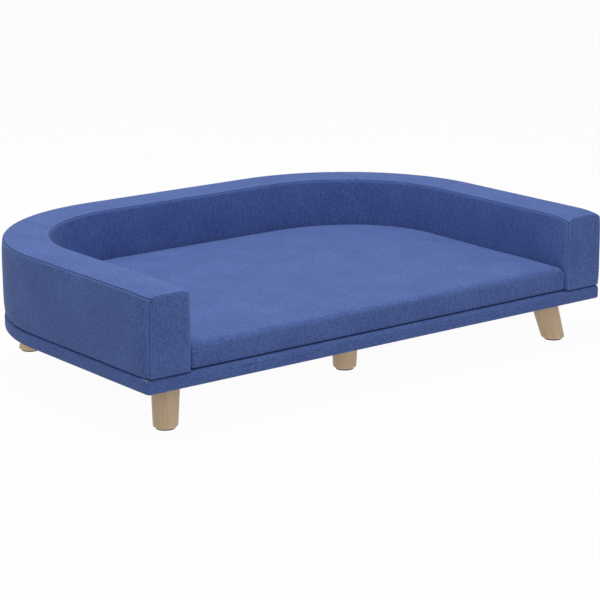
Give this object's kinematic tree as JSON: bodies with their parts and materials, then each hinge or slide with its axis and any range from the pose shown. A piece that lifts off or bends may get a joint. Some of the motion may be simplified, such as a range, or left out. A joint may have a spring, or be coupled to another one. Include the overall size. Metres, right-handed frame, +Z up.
{
  "type": "pet sofa bed",
  "caption": "Low upholstered pet sofa bed with a padded U-shaped bolster, a loose lift-out mattress and splayed wooden legs.",
  "frame": {"origin": "on the floor under the middle of the bed", "axes": "+X to the right seen from the front, +Y to the back, +Z up"},
  "size_m": [0.907, 0.616, 0.2189],
  "materials": {
    "linen": "woven linen-look upholstery",
    "leg_wood": "turned pale wood, clear matt",
    "glide_rubber": "matt",
    "plywood": "raw plywood",
    "post_wood": "raw softwood",
    "bent_board": "thin hardboard",
    "foam": "open-cell foam",
    "dust_cloth": "non-woven sheet",
    "zinc_steel": "zinc plated",
    "slider_metal": "enamelled",
    "zip_nylon": "moulded nylon",
    "zip_cloth": "woven tape"
  },
  "bodies": {
    "base": {"platform_board": "plywood", "platform_padding": "foam", "platform_cover": "linen", "dust_cover": "dust_cloth", "bolster_base_plate": "plywood", "bolster_top_plate": "plywood", "bolster_posts": "post_wood", "bolster_outer_panel": "bent_board", "bolster_inner_panel": "bent_board", "arm_end_board_left": "plywood", "arm_end_board_right": "plywood", "bolster_foam": "foam", "bolster_outer_cover": "linen", "bolster_inner_cover": "linen", "top_strip_left": "linen", "top_strip_back": "linen", "top_strip_right": "linen", "arm_front_cover_left": "linen", "arm_front_cover_right": "linen", "bolster_screws": "zinc_steel", "leg_front_left": "leg_wood", "leg_front_middle": "leg_wood", "leg_front_right": "leg_wood", "leg_rear_left": "leg_wood", "leg_rear_middle": "leg_wood", "leg_rear_right": "leg_wood", "glide_front_left": "glide_rubber", "glide_front_middle": "glide_rubber", "glide_front_right": "glide_rubber", "glide_rear_left": "glide_rubber", "glide_rear_middle": "glide_rubber", "glide_rear_right": "glide_rubber", "hanger_bolts": "zinc_steel", "tee_nuts": "zinc_steel"},
    "mattress": {"mattress_foam": "foam", "mattress_cover": "linen", "zip_tape": "zip_cloth", "zip_teeth": "zip_nylon"},
    "slider": {"zip_slider": "slider_metal"}
  },
  "joints": [
    {"name": "mattress_lift", "type": "slide", "parent": "base", "child": "mattress", "axis": [0, 0, 1], "range_m": [0, 0.15]},
    {"name": "zip_slide", "type": "slide", "parent": "mattress", "child": "slider", "axis": [1, 0, 0], "range_m": [0, 0.28]}
  ]
}
